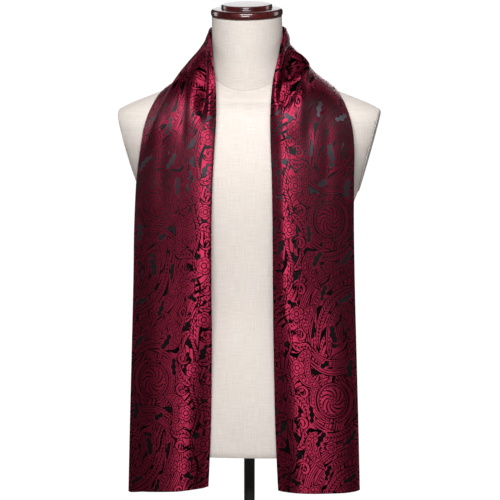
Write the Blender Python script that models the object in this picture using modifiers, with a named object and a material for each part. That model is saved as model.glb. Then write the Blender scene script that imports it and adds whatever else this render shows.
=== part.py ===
"""A long silk scarf draped round the neck of a limbless dress form on a counter stand.

Metres, +Z up. The origin is the middle of the underside of the stand's base, the front faces -Y,
and +X is on the right when the front is looked at. The form and the cloth are described in heights
above the form's bottom edge, in millimetres, and are lifted onto the stand when they are built.
"""

import math

import bmesh
import bpy
import numpy as np
from mathutils import Vector

# ---------------------------------------------------------------- driving sizes
MM = 0.001
GAP = 0.3 * MM  # left between pieces that touch
FORM_HEIGHT = 260 * MM  # the form's bottom edge above the table

# The form's body: one row for each level, in millimetres. `front` and `back` are its depths from its
# middle, `square` is 2 for an ellipse and more for a squarer oval, `lean` is the y of its middle,
# and `tilt` is how much it rises per millimetre towards the back.
BODY = (
    # level, half width, front, back, square, lean, tilt
    (0, 166, 105, 100, 2.40, 0, 0.00),
    (70, 170, 108, 106, 2.40, 0, 0.00),
    (160, 160, 104, 98, 2.35, 0, 0.00),
    (250, 148, 98, 86, 2.30, 0, 0.00),
    (340, 158, 105, 92, 2.35, 0, 0.00),
    (420, 176, 114, 104, 2.40, 0, 0.00),
    (460, 192, 116, 110, 2.45, 0, 0.00),
    (500, 211, 113, 113, 2.45, 0, 0.00),
    (540, 228, 104, 110, 2.40, -1, 0.01),
    (565, 231, 93, 104, 2.35, -3, 0.03),
    (580, 221, 85, 97, 2.30, -4, 0.06),
    (590, 201, 80, 90, 2.25, -6, 0.10),
    (600, 174, 76, 84, 2.20, -9, 0.15),
    (610, 144, 73, 79, 2.15, -12, 0.21),
    (620, 112, 70, 74, 2.10, -14, 0.28),
    (630, 87, 67, 70, 2.05, -17, 0.34),
    (641, 72, 65, 66, 2.00, -19, 0.36),
    (654, 65, 63, 63, 2.00, -23, 0.33),
    (670, 61, 61, 61, 2.00, -27, 0.27),
    (700, 59.5, 59.5, 59.5, 2.00, -35, 0.18),
    (737, 58.5, 58.5, 58.5, 2.00, -44, 0.132),
)
BODY_SIDES = 48
BODY_STEPS = 2  # rings of the mesh for each row of the table

# The flat boards that close the armholes lean in towards the waist.
ARMHOLE_X = 221 * MM  # from the middle to the board's plane, at the level of the shoulder tip
ARMHOLE_LEVEL = 580 * MM
ARMHOLE_SLANT = math.radians(15)
ARMHOLE_FLOOR = 400 * MM  # the opening ends above this; the waist below it isn't cut
WELD = 0.5 * MM  # points on the opening's rim that are nearer than this become one
BOARD_THICKNESS = 3 * MM
BOARD_SHARE = 0.95  # of the size of the opening that it closes

# The turned wooden cap on the neck, in millimetres, from the top of its upper step down.
CAP_LIFT = 0.6  # off the top of the neck
CAP_PROFILE = (
    # radius, height
    (0, 20.0),
    (38, 20.0),
    (41.5, 18.8),
    (42.6, 16.6),
    (42.6, 14.2),
    (44.0, 13.2),
    (54.5, 12.8),
    (58.4, 11.0),
    (60.0, 7.6),
    (59.8, 3.4),
    (58.2, 0.8),
    (56.0, 0.0),
    (0, 0.0),
)

# The stand: a steel pole in a round weighted base. The base's profile, in millimetres, runs from the
# top of its hub out and down to its rim.
POLE_RADIUS = 9.2 * MM
POLE_TOP = 80 * MM  # how far it goes up inside the form
POLE_FOOT = 5 * MM  # its lower end above the table
BORE_SLACK = 0.5 * MM  # round the pole, in the form and in the base
BASE_PROFILE = (
    # radius, height
    (19.0, 34.0),
    (20.5, 32.5),
    (21.0, 16.0),
    (26.0, 12.5),
    (60.0, 11.5),
    (138.0, 8.0),
    (146.5, 6.0),
    (150.0, 2.5),
    (149.0, 0.0),
)

# The scarf: a band folded double along its length, 158 mm wide as it is worn. One row for each
# section across it, from the nape to the hem, in millimetres on the +X side; the other side is its
# mirror image, but for `shift`, which moves the outer edge the same way on both sides. `bow` is how
# far the middle of the band stands out of the straight line from its inner to its outer edge.
INNER, OUTER, BOW, SHIFT = slice(0, 3), slice(3, 6), 6, 7
SECTIONS = (
    # inner edge x, y, z, outer edge x, y, z, bow, shift
    (0, 32, 719, 0, 110, 583, -4, 0),
    (36, 22, 720, 42, 107, 588, 0, 0),
    (59, -8, 719, 78, 92, 600, 2, 0),
    (63, -38, 713, 104, 67, 613, 2, 0),
    (59, -60, 695, 126, 38, 620, 2, 0),
    (54.8, -77, 668, 139, 7, 618, 5, 2),
    (49, -89, 640, 148.5, -26, 610, 9, 3),
    (45.5, -100, 606, 160.5, -62, 590.5, 13, 5),
    (44.7, -110, 568, 172, -84, 559, 13, 6),
    (46, -117, 525, 178, -91, 518, 12, 5),
    (48, -121, 480, 181, -93, 474, 12, 2),
    (49.5, -124, 410, 183, -95, 405, 13, 0),
    (50.5, -125, 300, 185, -95, 298, 14, 0),
    (53, -125, 170, 188.5, -94, 168, 14, 0),
    (56, -124, 50, 192, -93, 48, 14, 0),
    (60.5, -124, -50, 194.5, -94, -54, 14, 0),
)
SHOULDER_ROW = 6  # the band is parted here, on top of the shoulder
CLOTH = 2.6 * MM  # the doubled cloth
PROBE_RUN, PROBE_ACROSS = 0.5, 0.002  # half the span, in millimetres and as a share, of a slope

# The large folds, by the side they are on, +1 or -1. The runs are in millimetres from the nape;
# `across` and the walls are shares of the band's width, from its inner edge. A ridge is less than 0
# deep.
FOLDS = (
    # side, from run, to run, from across, to across, inner wall, outer wall, depth
    (1, 60, 250, 0.24, 0.10, 0.05, 0.15, 15),
    (1, 80, 300, 0.50, 0.27, 0.12, 0.12, -8),
    (-1, 90, 275, 0.13, 0.14, 0.05, 0.07, 13),
    (-1, 60, 330, 0.32, 0.30, 0.10, 0.12, -7),
    (-1, 80, 235, 0.64, 0.50, 0.09, 0.12, 9),
)
FOLD_RISE, FOLD_FALL = 2.2, 4.0  # a fold deepens over 1/2.2 of its run and ends over 1/4 of it

# The stations of the loft: close together where the cloth is folded, wide apart where it hangs.
FOLDED_RUN = 330  # the folds are nearer the nape than this, in millimetres
FOLDED_STEP, HANGING_STEP = 13, 40
ACROSS = (
    0, 0.03, 0.06, 0.095, 0.13, 0.17, 0.22, 0.28, 0.35, 0.43, 0.52, 0.61, 0.70, 0.79, 0.88, 0.95, 1,
)


# ---------------------------------------------------------------- helpers
def clear_scene():
    """Remove the objects that are in the scene already."""
    for old in list(bpy.data.objects):
        bpy.data.objects.remove(old, do_unlink=True)


def material(name, colour, roughness, metallic=0.0):
    """A Principled material of one colour."""
    made = bpy.data.materials.new(name)
    made.use_nodes = True
    shader = made.node_tree.nodes["Principled BSDF"]
    shader.inputs["Base Color"].default_value = (*colour, 1)
    shader.inputs["Roughness"].default_value = roughness
    shader.inputs["Metallic"].default_value = metallic
    return made


def collection(name):
    """A new collection in the scene."""
    made = bpy.data.collections.new(name)
    bpy.context.scene.collection.children.link(made)
    return made


def add_object(name, mesh, where, finish=None):
    """Put a mesh in the scene as a named object, shaded smooth up to 40 degrees."""
    made = bpy.data.objects.new(name, mesh)
    where.objects.link(made)
    if finish:
        mesh.materials.append(finish)
    mesh.shade_smooth()
    mesh.set_sharp_from_angle(angle=math.radians(40))
    return made


def mesh_from(name, points, faces):
    """A mesh with its faces turned outwards."""
    mesh = bpy.data.meshes.new(name)
    mesh.from_pydata([tuple(p) for p in points], [], faces)
    form = bmesh.new()
    form.from_mesh(mesh)
    bmesh.ops.recalc_face_normals(form, faces=form.faces)
    form.to_mesh(mesh)
    form.free()
    return mesh


def smooth_rows(stops, rows, at):
    """Rows of numbers read between their stops along a smooth curve through all of them."""
    stops, rows = np.asarray(stops, float), np.asarray(rows, float)
    slopes = np.gradient(rows, stops, axis=0, edge_order=2)
    left = np.clip(np.searchsorted(stops, at, side="right") - 1, 0, len(stops) - 2)
    span = (stops[left + 1] - stops[left])[:, None]
    t = (np.asarray(at)[:, None] - stops[left][:, None]) / span
    start, end = rows[left], rows[left + 1]
    pull = slopes[left] * span, slopes[left + 1] * span
    return (
        (2 * t**3 - 3 * t**2 + 1) * start
        + (t**3 - 2 * t**2 + t) * pull[0]
        + (3 * t**2 - 2 * t**3) * end
        + (t**3 - t**2) * pull[1]
    )


def turned(name, profile, where, finish, sides):
    """A solid turned round Z from a profile of (radius, height) in metres, top to bottom."""
    mesh = bpy.data.meshes.new(name)
    mesh.from_pydata(
        [(r, 0, z) for r, z in profile], [(i, i + 1) for i in range(len(profile) - 1)], []
    )
    made = add_object(name, mesh, where, finish)
    screw = made.modifiers.new("turn", "SCREW")
    screw.steps = screw.render_steps = sides
    screw.use_merge_vertices = True
    screw.merge_threshold = 0.00002
    screw.use_smooth_shade = True
    return made


# ---------------------------------------------------------------- the dress form
def body_levels():
    """The body's table, read at every level that the mesh has a ring on."""
    rows = np.array(BODY)
    levels = [rows[0, 0]]
    for low, high in zip(rows[:-1, 0], rows[1:, 0]):
        levels += list(np.linspace(low, high, BODY_STEPS + 1)[1:])
    return smooth_rows(rows[:, 0], rows, np.array(levels))


def body_ring(row):
    """One level of the body: a rounded oval, deeper or flatter at the back than at the front."""
    level, half_width, front, back, square, lean, tilt = row
    points = []
    for step in range(BODY_SIDES):
        turn = 2 * math.pi * step / BODY_SIDES
        side, depth = math.cos(turn), math.sin(turn)
        reach = (abs(side) ** square + abs(depth) ** square) ** (-1 / square)
        x = half_width * reach * side
        y = (back if depth > 0 else front) * reach * depth
        points.append((x, y + lean, level + tilt * y))
    return points


def into(where, thing):
    """Move an object into a collection."""
    for home in list(thing.users_collection):
        home.objects.unlink(thing)
    where.objects.link(thing)


def make_body(where, cutters, linen):
    """The linen body and neck, cut flat at the armholes and bored for the pole."""
    rings = [body_ring(row) for row in body_levels()]
    points = [Vector(p) * MM + Vector((0, 0, FORM_HEIGHT)) for ring in rings for p in ring]
    faces = []
    for low in range(len(rings) - 1):
        for step in range(BODY_SIDES):
            a = low * BODY_SIDES + step
            b = low * BODY_SIDES + (step + 1) % BODY_SIDES
            faces.append((a, b, b + BODY_SIDES, a + BODY_SIDES))
    faces.append(tuple(reversed(range(BODY_SIDES))))
    last = (len(rings) - 1) * BODY_SIDES
    faces.append(tuple(range(last, last + BODY_SIDES)))
    mesh = mesh_from("form_body", points, faces)
    outlines = {side: cut_armhole(mesh, side) for side in (-1, 1)}
    body = add_object("form_body", mesh, where, linen)

    bpy.ops.mesh.primitive_cylinder_add(
        vertices=32, radius=POLE_RADIUS + BORE_SLACK, depth=2 * (POLE_TOP + GAP),
        location=(0, 0, FORM_HEIGHT),
    )
    bore = bpy.context.object
    bore.name = "pole_bore"
    bore.hide_render = True
    bore.display_type = "WIRE"
    into(cutters, bore)
    cut = body.modifiers.new("pole bore", "BOOLEAN")
    cut.object = bore
    cut.operation = "DIFFERENCE"
    cut.solver = "EXACT"
    return outlines


def armhole_plane(side):
    """A point on the armhole's plane and its outward normal."""
    spot = Vector((side * ARMHOLE_X, 0, FORM_HEIGHT + ARMHOLE_LEVEL))
    normal = Vector((side * math.cos(ARMHOLE_SLANT), 0, -math.sin(ARMHOLE_SLANT)))
    return spot, normal


def cut_armhole(mesh, side):
    """Cut the stub of the arm off flat, close the cut, and return its outline."""
    spot, normal = armhole_plane(side)
    floor = FORM_HEIGHT + ARMHOLE_FLOOR
    form = bmesh.new()
    form.from_mesh(mesh)
    chest = [vert for vert in form.verts if vert.co.z > floor]
    for kind in (form.edges, form.faces):
        chest += [item for item in kind if all(vert.co.z > floor for vert in item.verts)]
    bmesh.ops.bisect_plane(
        form, geom=chest, dist=WELD / 10, plane_co=spot, plane_no=normal, clear_outer=True,
    )
    rim = [edge for edge in form.edges if edge.is_boundary]
    bmesh.ops.remove_doubles(form, verts=list({v for e in rim for v in e.verts}), dist=WELD)
    rim = [edge for edge in form.edges if edge.is_boundary]
    flat = bmesh.ops.edgeloop_fill(form, edges=rim)["faces"]
    outline = [vert.co.copy() for vert in flat[0].verts]
    bmesh.ops.recalc_face_normals(form, faces=form.faces)
    form.to_mesh(mesh)
    form.free()
    return outline


def make_board(side, outline, where, linen):
    """The flat covered board on one armhole, a little smaller than the opening."""
    middle = sum(outline, Vector()) / len(outline)
    normal = armhole_plane(side)[1]
    near = [middle + (p - middle) * BOARD_SHARE + normal * GAP for p in outline]
    count = len(near)
    points = near + [p + normal * BOARD_THICKNESS for p in near]
    faces = [tuple(range(count)), tuple(range(2 * count - 1, count - 1, -1))]
    faces += [(i, (i + 1) % count, count + (i + 1) % count, count + i) for i in range(count)]
    name = "armhole_board_" + ("right" if side > 0 else "left")
    board = add_object(name, mesh_from(name, points, faces), where, linen)
    edge = board.modifiers.new("soft edge", "BEVEL")
    edge.width = 0.8 * MM
    edge.segments = 1
    edge.limit_method = "ANGLE"


def make_cap(where, wood):
    """The two-step turned cap, square to the tilted top of the neck."""
    level, _, _, _, _, lean, tilt = BODY[-1]
    cap = turned("neck_cap", [(r * MM, z * MM) for r, z in CAP_PROFILE], where, wood, 48)
    cap.rotation_euler = (math.atan(tilt), 0, 0)
    cap.location = (0, lean * MM, FORM_HEIGHT + (level + CAP_LIFT) * MM)


def make_stand(where, steel):
    """The pole, and the round base that it is held in."""
    foot = POLE_FOOT - GAP
    bore = POLE_RADIUS + BORE_SLACK
    hub = BASE_PROFILE[0][1] * MM
    profile = [(0, foot), (bore, foot), (bore, hub)]
    profile += [(r * MM, z * MM) for r, z in BASE_PROFILE] + [(0, 0)]
    turned("stand_base", profile, where, steel, 64)
    top = FORM_HEIGHT + POLE_TOP
    bpy.ops.mesh.primitive_cylinder_add(
        vertices=32, radius=POLE_RADIUS, depth=top - POLE_FOOT,
        location=(0, 0, (top + POLE_FOOT) / 2),
    )
    pole = bpy.context.object
    pole.name = "stand_pole"
    pole.data.name = "stand_pole"
    pole.data.materials.append(steel)
    pole.data.shade_smooth()
    pole.data.set_sharp_from_angle(angle=math.radians(40))
    into(where, pole)


# ---------------------------------------------------------------- the scarf
def whole_band():
    """The sections from hem to hem, and how far each is from the nape along the band's middle."""
    side = np.array(SECTIONS, float)
    mirror = side[:0:-1] * np.array([-1, 1, 1, -1, 1, 1, 1, 1])
    rows = np.vstack([mirror, side])
    rows[:, OUTER.start] += rows[:, SHIFT]
    middle = (rows[:, INNER] + rows[:, OUTER]) / 2
    steps = np.linalg.norm(np.diff(middle, axis=0), axis=1)
    runs = np.concatenate([[0], np.cumsum(steps)])
    return runs - runs[len(mirror)], rows


def fold_depth(run, across):
    """How far the folds push the cloth in at one place, in millimetres."""
    depth = np.zeros(np.broadcast(run, across).shape)
    for side, start, end, across_start, across_end, inner_wall, outer_wall, deep in FOLDS:
        share = np.clip((side * run - start) / (end - start), 0, 1)
        middle = across_start + (across_end - across_start) * share
        swell = np.clip(FOLD_RISE * share, 0, 1) * np.clip(FOLD_FALL * (1 - share), 0, 1)
        swell = swell * swell * (3 - 2 * swell)
        wall = np.where(across < middle, inner_wall, outer_wall)
        depth += deep * swell * np.exp(-(((across - middle) / wall) ** 2))
    return depth


def band_points(runs, across):
    """A grid of points on the middle of the cloth: a row for each run, a column for each share across."""
    stops, rows = whole_band()
    read = smooth_rows(stops, rows, runs)
    inner, outer, bow = read[:, None, INNER], read[:, None, OUTER], read[:, BOW][:, None]
    across = across[None, :]
    # the way along the band, and the way out of it
    ahead = smooth_rows(stops, rows, runs + 1.0) - smooth_rows(stops, rows, runs - 1.0)
    along = (ahead[:, INNER] + ahead[:, OUTER])[:, None, :]
    out = np.cross(along, outer - inner)
    out /= np.linalg.norm(out, axis=2, keepdims=True)
    arch = bow * (1 - (2 * across - 1) ** 2)
    lift = arch - fold_depth(runs[:, None], across)
    return inner + (outer - inner) * across[:, :, None] + out * lift[:, :, None]


def band_faces(runs, across):
    """The outer and the inner face of the doubled cloth, as two grids of points."""
    middle = band_points(runs, across)
    along = band_points(runs + PROBE_RUN, across) - band_points(runs - PROBE_RUN, across)
    sideways = band_points(runs, across + PROBE_ACROSS) - band_points(runs, across - PROBE_ACROSS)
    out = np.cross(along, sideways)
    out *= CLOTH / MM / 2 / np.linalg.norm(out, axis=2, keepdims=True)
    return middle + out, middle - out


def make_stretch(name, runs, where, silk):
    """One stretch of the scarf: a lofted wall as thick as the doubled cloth."""
    points = np.concatenate([face.reshape(-1, 3) for face in band_faces(runs, np.array(ACROSS))])
    tall, wide = len(runs), len(ACROSS)
    under = tall * wide
    faces = []
    for row in range(tall - 1):
        for column in range(wide - 1):
            a = row * wide + column
            faces.append((a, a + 1, a + wide + 1, a + wide))
            faces.append((a + under, a + wide + under, a + wide + 1 + under, a + 1 + under))
    # the rim, once round the grid, split the same way on both sides of a seam
    rim = list(range(wide))
    rim += [row * wide + wide - 1 for row in range(1, tall)]
    rim += [(tall - 1) * wide + column for column in range(wide - 2, -1, -1)]
    rim += [row * wide for row in range(tall - 2, 0, -1)]
    for pair in zip(rim, rim[1:] + rim[:1]):
        low, high = min(pair), max(pair)
        faces.append((low, low + under, high + under))
        faces.append((low, high + under, high))
    add_object(name, mesh_from(name, points * MM + np.array([0, 0, FORM_HEIGHT]), faces), where, silk)


def stations(start, end):
    """Runs from one to the other, close together as far as the folds go."""
    folded = max(2, round((min(end, FOLDED_RUN) - start) / FOLDED_STEP) + 1)
    near = np.linspace(start, min(end, FOLDED_RUN), folded)
    if end <= FOLDED_RUN:
        return near
    hanging = round((end - FOLDED_RUN) / HANGING_STEP) + 1
    return np.concatenate([near, np.linspace(FOLDED_RUN, end, hanging)[1:]])


def make_scarf(where, silk):
    """The nape stretch and the two ends, parted on top of the shoulders."""
    stops, _ = whole_band()
    shoulder = stops[len(SECTIONS) - 1 + SHOULDER_ROW]
    make_stretch("scarf_nape", stations(-shoulder, shoulder), where, silk)
    front = stations(shoulder + GAP / MM, stops[-1])
    make_stretch("scarf_end_right", front, where, silk)
    make_stretch("scarf_end_left", -front[::-1], where, silk)


# ---------------------------------------------------------------- the whole object
def main():
    clear_scene()
    parts = collection("long_scarf_on_dress_form")
    cutters = collection("cutters")
    linen = material("linen", (0.78, 0.75, 0.70), 0.85)
    wood = material("lacquered_wood", (0.17, 0.05, 0.035), 0.3)
    steel = material("black_steel", (0.02, 0.02, 0.022), 0.3, 0.6)
    silk = material("silk_jacquard", (0.30, 0.03, 0.07), 0.45)
    outlines = make_body(parts, cutters, linen)
    for side, outline in outlines.items():
        make_board(side, outline, parts, linen)
    make_cap(parts, wood)
    make_stand(parts, steel)
    make_scarf(parts, silk)


main()
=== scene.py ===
# %% [markdown]
# # A long silk scarf on a dress form
#
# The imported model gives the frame: a plain solid for each part, in metres, with +Z up and the
# front facing -Y. This script dresses it. The scarf becomes one soft band of doubled jacquard
# silk, the form gets its linen, and the cap and the stand get their lacquer and paint. Every size
# is given in millimetres, and heights on the form are counted from its lower edge, as a maker
# would.

# %% Load the frame
import math

import bmesh
import bpy
import numpy as np
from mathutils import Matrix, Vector


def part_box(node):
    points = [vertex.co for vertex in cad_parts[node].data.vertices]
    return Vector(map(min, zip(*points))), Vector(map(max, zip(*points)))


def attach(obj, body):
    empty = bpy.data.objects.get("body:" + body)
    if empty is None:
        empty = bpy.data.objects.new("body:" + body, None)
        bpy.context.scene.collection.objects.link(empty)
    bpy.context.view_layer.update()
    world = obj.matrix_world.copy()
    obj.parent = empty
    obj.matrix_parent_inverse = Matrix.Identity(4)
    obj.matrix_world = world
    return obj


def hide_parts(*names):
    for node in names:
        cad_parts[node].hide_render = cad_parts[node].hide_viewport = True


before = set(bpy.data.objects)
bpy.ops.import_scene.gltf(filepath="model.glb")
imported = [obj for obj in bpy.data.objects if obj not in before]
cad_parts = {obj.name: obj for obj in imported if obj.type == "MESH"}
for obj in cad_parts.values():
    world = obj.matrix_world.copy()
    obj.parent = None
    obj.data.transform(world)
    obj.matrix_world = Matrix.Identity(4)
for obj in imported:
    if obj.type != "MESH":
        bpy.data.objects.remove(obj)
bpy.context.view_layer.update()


def put(name, data):
    """Put a camera, a lamp or a mesh into the scene as an object."""
    made = bpy.data.objects.new(name, data)
    bpy.context.scene.collection.objects.link(made)
    return made


MM = 0.001
FORM_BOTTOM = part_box("form_body")[0].z
FORM_FLOOR = np.array([0, 0, FORM_BOTTOM])

# %% [markdown]
# ## Camera
#
# The photographer stood far back with a long lens, a little to the right of the middle and a
# little above it, so the form shows almost no perspective. The lens is worked out from one number
# that can be checked against the picture: how many millimetres at the form's middle fill one
# pixel.

# %% Camera
CAMERA_AZIMUTH, CAMERA_ELEVATION = math.radians(5.5), math.radians(5.0)
CAMERA_DISTANCE = 4.5
PIXEL = 1.7 * MM
FRAME_PIXELS = 500
SENSOR = 36.0
LOOK_AT = Vector((0.001, 0, FORM_BOTTOM + 0.341))

camera = bpy.data.cameras.new("camera")
camera.sensor_width = SENSOR
camera.lens = SENSOR * CAMERA_DISTANCE / (FRAME_PIXELS * PIXEL)
camera_stand = put("camera", camera)
bpy.context.scene.camera = camera_stand
level_way = Vector((math.sin(CAMERA_AZIMUTH), -math.cos(CAMERA_AZIMUTH), 0))
back = level_way * math.cos(CAMERA_ELEVATION) + Vector((0, 0, math.sin(CAMERA_ELEVATION)))
camera_stand.location = LOOK_AT + back * CAMERA_DISTANCE
camera_stand.rotation_euler = (-back).to_track_quat("-Z", "Y").to_euler()
print("lens %.1f mm" % camera.lens)

# %% [markdown]
# ## Light
#
# Satin is a mirror that is only a little blurred, so it is lit for its reflections. One wide soft
# box stands high in front. Cloth that slopes towards it, on the chest, shines grey; cloth that
# hangs straight sends that light down past the camera and stays dark, except for its cross
# threads. The room is dim, so the sides of each end fall away into shade. Smaller boxes fill in
# round the form, and three of them are kept off what they would spoil, once the pieces are made.


# %% Lamps
def soft_box(name, place, aim, width, height, watts):
    """A rectangular lamp that faces a point."""
    lamp = bpy.data.lights.new(name, "AREA")
    lamp.shape = "RECTANGLE"
    lamp.size, lamp.size_y = width, height
    lamp.energy = watts
    stand = put(name, lamp)
    stand.location = place
    stand.rotation_euler = (Vector(aim) - Vector(place)).to_track_quat("-Z", "Y").to_euler()
    return stand


CHEST, CAP = (0, -0.05, FORM_BOTTOM + 0.42), (0, 0, 1.02)
ROOM_LIGHT = 0.03
soft_box("key_box", (0.14, -2.6, 2.5), CHEST, 1.75, 0.92, 78)
soft_box("front_box", (0.02, -0.95, 0.92), CHEST, 0.35, 0.12, 3.0)
cap_box = soft_box("cap_box", (-0.24, 2.5, 2.0), CAP, 0.9, 1.9, 5.9)
form_box = soft_box("form_box", (0.0, -0.5, 2.7), CHEST, 1.6, 0.8, 14.0)
soft_box("left_box", (-2.2, 0.9, 1.3), CHEST, 0.8, 1.6, 9.0)
soft_box("right_box", (2.2, 0.9, 1.3), CHEST, 0.8, 1.6, 8.0)
back_box = soft_box("back_box", (0.0, 2.6, 1.5), CHEST, 1.6, 1.0, 22.0)

world = bpy.data.worlds.new("studio")
world.use_nodes = True
room = world.node_tree.nodes["Background"]
room.inputs["Color"].default_value = (1, 1, 1, 1)
room.inputs["Strength"].default_value = ROOM_LIGHT
bpy.context.scene.world = world
bpy.context.scene.view_settings.view_transform = "Standard"

# %% [markdown]
# ## Sums on surfaces
#
# A finish is a sum over the surface: so much of this colour where that mask is 1. Node trees hide
# such sums in a web of boxes, so one small class wraps a socket and lets Python's own signs add
# the Math nodes. Everything else that a tree needs comes from its one method `node`.


# %% A value on a surface
def sign(operation, reflected=False):
    """A method for one of Python's signs, which adds a Math node."""
    def apply(self, other):
        pair = (other, self) if reflected else (self, other)
        return self.node("Math", {"operation": operation}, dict(enumerate(pair)))
    return apply


class Value:
    """A socket that varies over a surface, with arithmetic that adds nodes to its tree."""

    def __init__(self, tree, socket=None):
        self.tree, self.socket = tree, socket

    def node(self, kind, settings=None, inputs=None, output=0):
        """Add a node: its settings first, then the values or links of its sockets."""
        made = self.tree.nodes.new("ShaderNode" + kind)
        for name, setting in (settings or {}).items():
            setattr(made, name, setting)
        for name, value in (inputs or {}).items():
            if isinstance(value, Value):
                self.tree.links.new(value.socket, made.inputs[name])
            else:
                made.inputs[name].default_value = value
        return Value(self.tree, made.outputs[output] if made.outputs else None)

    def math(self, operation, *others):
        return self.node("Math", {"operation": operation}, dict(enumerate((self, *others))))

    __add__ = __radd__ = sign("ADD")
    __mul__ = __rmul__ = sign("MULTIPLY")
    __sub__, __rsub__ = sign("SUBTRACT"), sign("SUBTRACT", reflected=True)
    __truediv__, __rtruediv__ = sign("DIVIDE"), sign("DIVIDE", reflected=True)
    __lt__, __gt__ = sign("LESS_THAN"), sign("GREATER_THAN")

    def __abs__(self):
        return self.math("ABSOLUTE")

    def cycle(self, period):
        """How far round its cycle the value is, from 0 to 1."""
        return (self / period).math("FRACT")

    def fade(self, low, high):
        """0 below low, 1 above high, and a smooth step between."""
        settings = {"interpolation_type": "SMOOTHSTEP"}
        return self.node("MapRange", settings, {0: self, 1: low, 2: high})

    def blend(self, low, high, kind="FLOAT"):
        """Mix from low to high by this value, which is a factor."""
        first, second, out = {"FLOAT": (2, 3, 0), "VECTOR": (4, 5, 1), "RGBA": (6, 7, 2)}[kind]
        return self.node("Mix", {"data_type": kind}, {0: self, first: low, second: high}, out)

    def colour(self, dark, light):
        """A colour from dark to light, each of red, green and blue, by this value."""
        return self.blend([*dark, 1], [*light, 1], "RGBA")

    def attribute(self, name, output=2):
        """What the mesh keeps under this name: a number, or with output 1 a vector."""
        return self.node("Attribute", {"attribute_name": name}, None, output)

    def bump(self, distance, strength):
        """The tilt of a surface that rises and falls by this value."""
        heights = {"Height": self, "Distance": distance, "Strength": strength}
        return self.node("Bump", None, heights)

    def noise(self, scale, dimensions="3D", **inputs):
        """Noise at this place, about 0.5."""
        return self.node("TexNoise", {"noise_dimensions": dimensions},
                         {"Vector": self, "Scale": scale, **inputs})

    def parts(self):
        """The three numbers of a vector."""
        split = self.node("SeparateXYZ", None, {0: self}).socket.node
        return [Value(self.tree, split.outputs[i]) for i in range(3)]


def new_finish(name):
    """An empty material, and the value that its nodes are added through."""
    made = bpy.data.materials.new(name)
    made.use_nodes = True
    made.node_tree.nodes.clear()
    return made, Value(made.node_tree)


def place_of(start):
    """The place on the piece, in metres."""
    return start.node("TexCoord", None, None, 3)


def dress(start, sockets):
    """End a finish in one Principled shader with these sockets."""
    start.node("OutputMaterial", None, {0: start.node("BsdfPrincipled", None, sockets)})


print("shader arithmetic ready")

# %% [markdown]
# ## Rows that become shapes
#
# Both the form and the scarf are drawn the way a pattern cutter draws them: a few sections, each a
# row of sizes, and a smooth curve through the rows. The same rows made the plain solids, so what
# is built here lies exactly where they do, only finer.


# %% Smooth curves through rows
def smooth_rows(stops, rows, at):
    """Rows of numbers read between their stops along a smooth curve through all of them."""
    stops, rows, at = (np.asarray(item, float) for item in (stops, rows, at))
    slopes = np.gradient(rows, stops, axis=0, edge_order=2)
    left = np.clip(np.searchsorted(stops, at, side="right") - 1, 0, len(stops) - 2)
    span = (stops[left + 1] - stops[left])[:, None]
    t = (at[:, None] - stops[left][:, None]) / span
    start, end = rows[left], rows[left + 1]
    return (
        (2 * t**3 - 3 * t**2 + 1) * start
        + (t**3 - 2 * t**2 + t) * slopes[left] * span
        + (3 * t**2 - 2 * t**3) * end
        + (t**3 - t**2) * slopes[left + 1] * span
    )


def add_piece(name, points, faces, finish, replaces, shape=lambda form: None):
    """Make a closed mesh from points in metres, shape it, dress it and let it ride on the form."""
    mesh = bpy.data.meshes.new(name)
    mesh.from_pydata([tuple(point) for point in points], [], faces)
    mesh.materials.append(finish)
    form = bmesh.new()
    form.from_mesh(mesh)
    shape(form)
    bmesh.ops.recalc_face_normals(form, faces=form.faces)
    form.to_mesh(mesh)
    form.free()
    mesh.shade_smooth()
    piece = put(name, mesh)
    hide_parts(*replaces)
    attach(piece, "root")
    return piece


def grid_faces(rows, columns):
    """The faces of a grid of points that goes round, from its last column to its first."""
    return [
        (row * columns + column, row * columns + (column + 1) % columns,
         (row + 1) * columns + (column + 1) % columns, (row + 1) * columns + column)
        for row in range(rows - 1) for column in range(columns)
    ]


def tube_faces(rows, columns):
    """The faces of such a grid, closed at both ends."""
    last = (rows - 1) * columns
    ends = [tuple(range(columns)), tuple(range(last, last + columns))]
    return grid_faces(rows, columns) + ends


print("helpers ready")

# %% [markdown]
# ## Linen
#
# The form is covered in bleached linen, a plain weave whose threads vary in thickness. Two crossed
# sets of fine waves make the weave, and noise drawn out along each set makes its slubs. Both
# follow the cover's own grain, a pair of lengths in metres round and up the form.


# %% Linen finish
LINEN_PITCH, SLUB, SLUB_LENGTH = 0.0011, 0.0012, 0.03  # the weave and its thick threads
SHADED_LINEN, LIT_LINEN = np.array([0.58, 0.514, 0.462]), np.array([0.86, 0.80, 0.752])


def weave(cloth, pitch):
    """Height of a plain weave, from 0 to 1, on a surface measured in metres."""
    across, along, _ = cloth.parts()
    turn = math.tau / pitch
    return ((across * turn).math("SINE") * (along * turn).math("SINE")) * 0.5 + 0.5


def slubs(cloth, thread, length):
    """Noise drawn out along one set of threads."""
    drawn_out = {0: cloth, 1: (thread, length, 1)}
    return cloth.node("VectorMath", {"operation": "DIVIDE"}, drawn_out).noise(1.0, "2D")


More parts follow.
